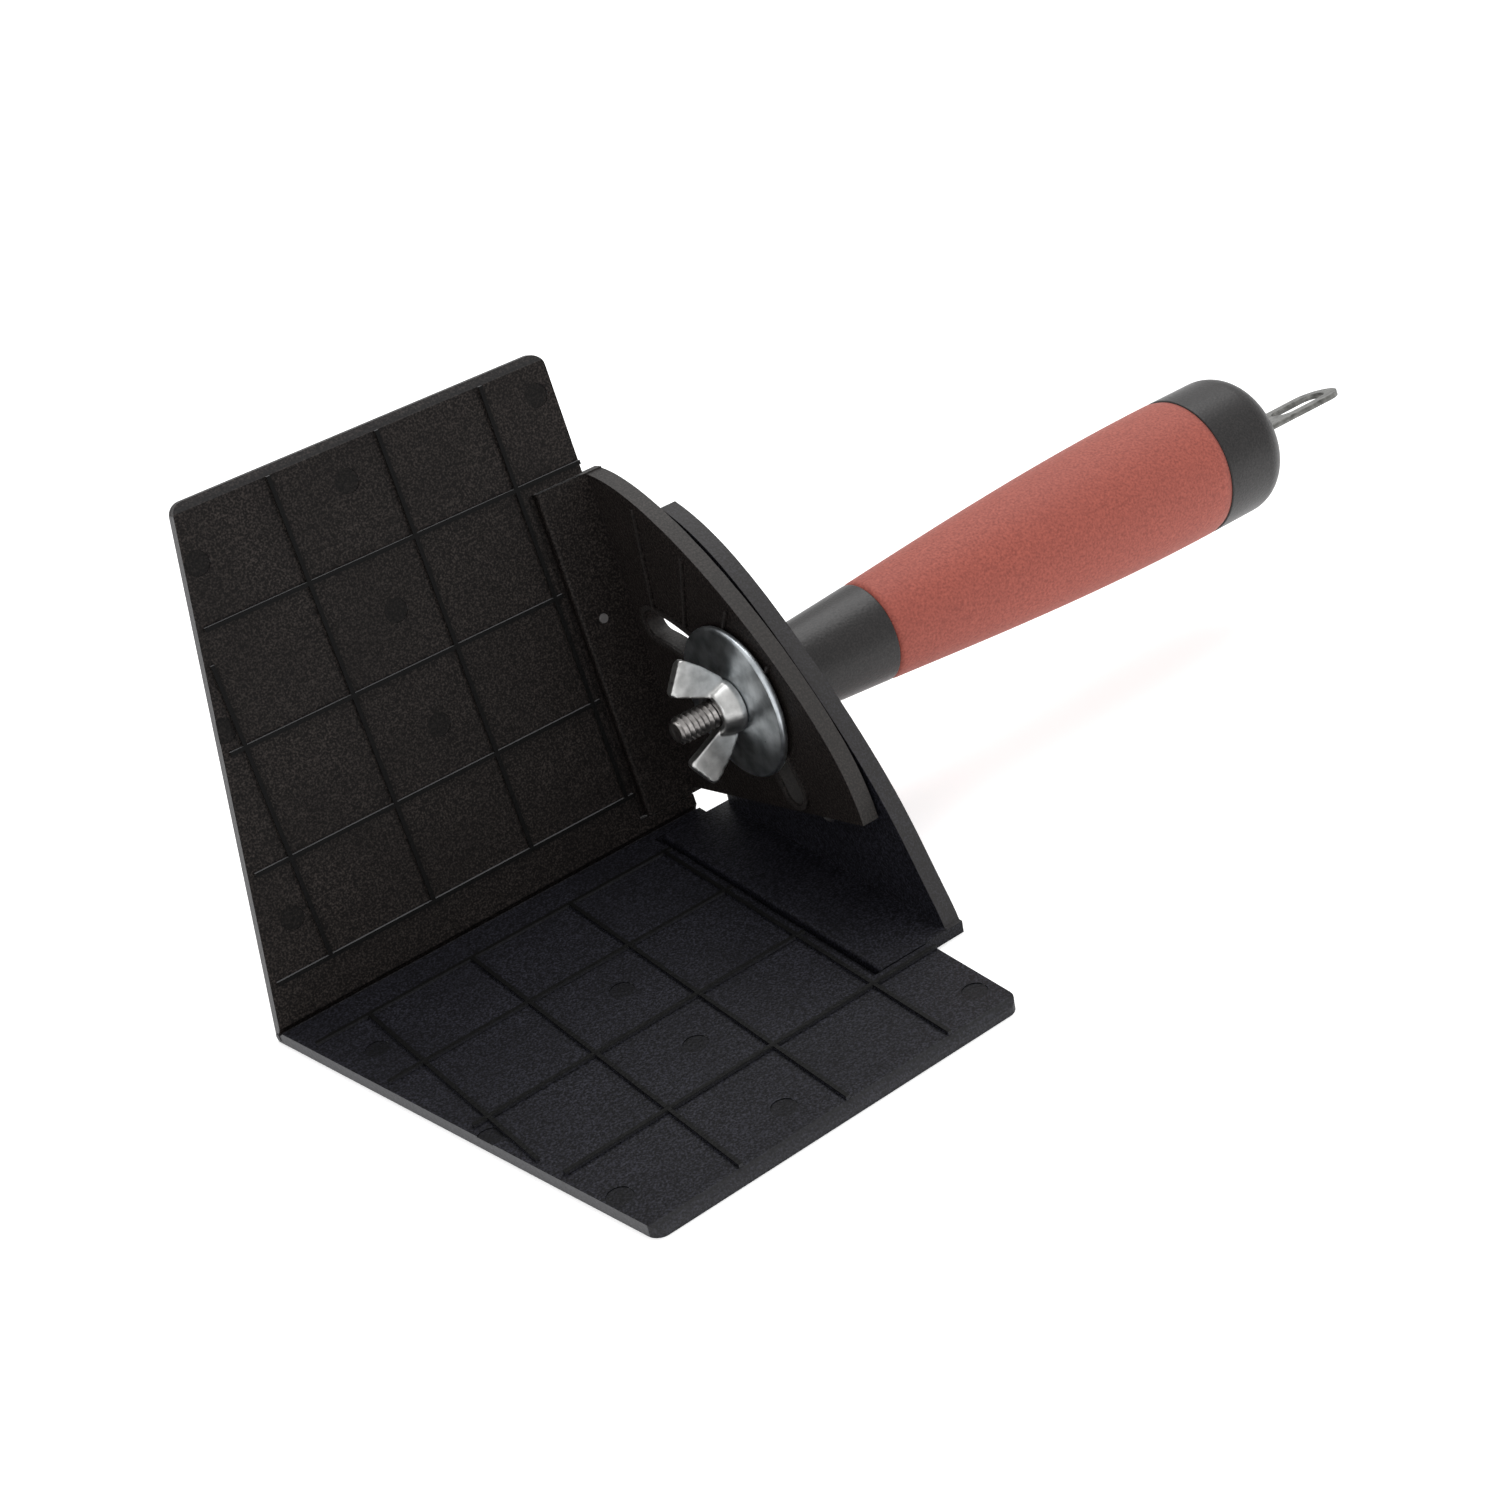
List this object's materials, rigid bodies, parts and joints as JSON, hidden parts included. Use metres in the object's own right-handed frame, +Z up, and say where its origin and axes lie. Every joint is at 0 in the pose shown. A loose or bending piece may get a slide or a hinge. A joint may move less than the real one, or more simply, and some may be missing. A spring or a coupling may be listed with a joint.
{
  "type": "folding corner mortar hawk",
  "caption": "Folding corner tray of two ribbed plastic wings with slotted end flaps, clamped by washer and wing nut to the stud of a soft-grip handle with a steel hang tab.",
  "frame": {"origin": "centre of the bottom wing's flat outer face", "axes": "+X along the fold towards the handle's butt, +Y towards the fold and the side wing, +Z up from the bottom wing into the tray"},
  "size_m": [0.2939, 0.1369, 0.1093],
  "materials": {
    "black_polypropylene": "fine satin moulded texture",
    "black_handle": "satin moulded plastic",
    "red_grip": "matte pebbled soft grip",
    "zinc_steel": "bright zinc plating"
  },
  "bodies": {
    "handle": {"handle_core": "black_handle", "soft_grip": "red_grip", "butt_cap": "black_handle", "hang_tab": "zinc_steel", "threaded_stud": "zinc_steel", "captive_nut": "zinc_steel"},
    "bottom_wing": {"bottom_wing": "black_polypropylene", "fold_web": "black_polypropylene", "bottom_flap_web": "black_polypropylene", "bottom_flap": "black_polypropylene"},
    "side_wing": {"side_wing": "black_polypropylene", "side_flap_web": "black_polypropylene", "side_flap": "black_polypropylene"},
    "washer": {"fender_washer": "zinc_steel"},
    "wing_nut": {"wing_nut": "zinc_steel"}
  },
  "joints": [
    {"name": "bottom_wing_fold", "type": "hinge", "parent": "handle", "child": "bottom_wing", "pos_m": [0, 0.0555, 0.001], "axis": [1, 0, 0], "range_deg": [-6, 22]},
    {"name": "side_wing_fold", "type": "hinge", "parent": "handle", "child": "side_wing", "pos_m": [0, 0.0555, 0.001], "axis": [-1, 0, 0], "range_deg": [-6, 27]},
    {"name": "washer_slide", "type": "slide", "parent": "handle", "child": "washer", "axis": [-1, 0, 0], "range_m": [0, 0.00385]},
    {"name": "wing_nut_spin", "type": "hinge", "parent": "washer", "child": "wing_nut", "pos_m": [0.0504, 0.02716, 0.04073], "axis": [-1, 0, 0], "range_deg": [0, 1080]}
  ],
  "couplings": [
    {"joint": "washer_slide", "follows": "wing_nut_spin", "m_per_rad": 0.00020213}
  ]
}
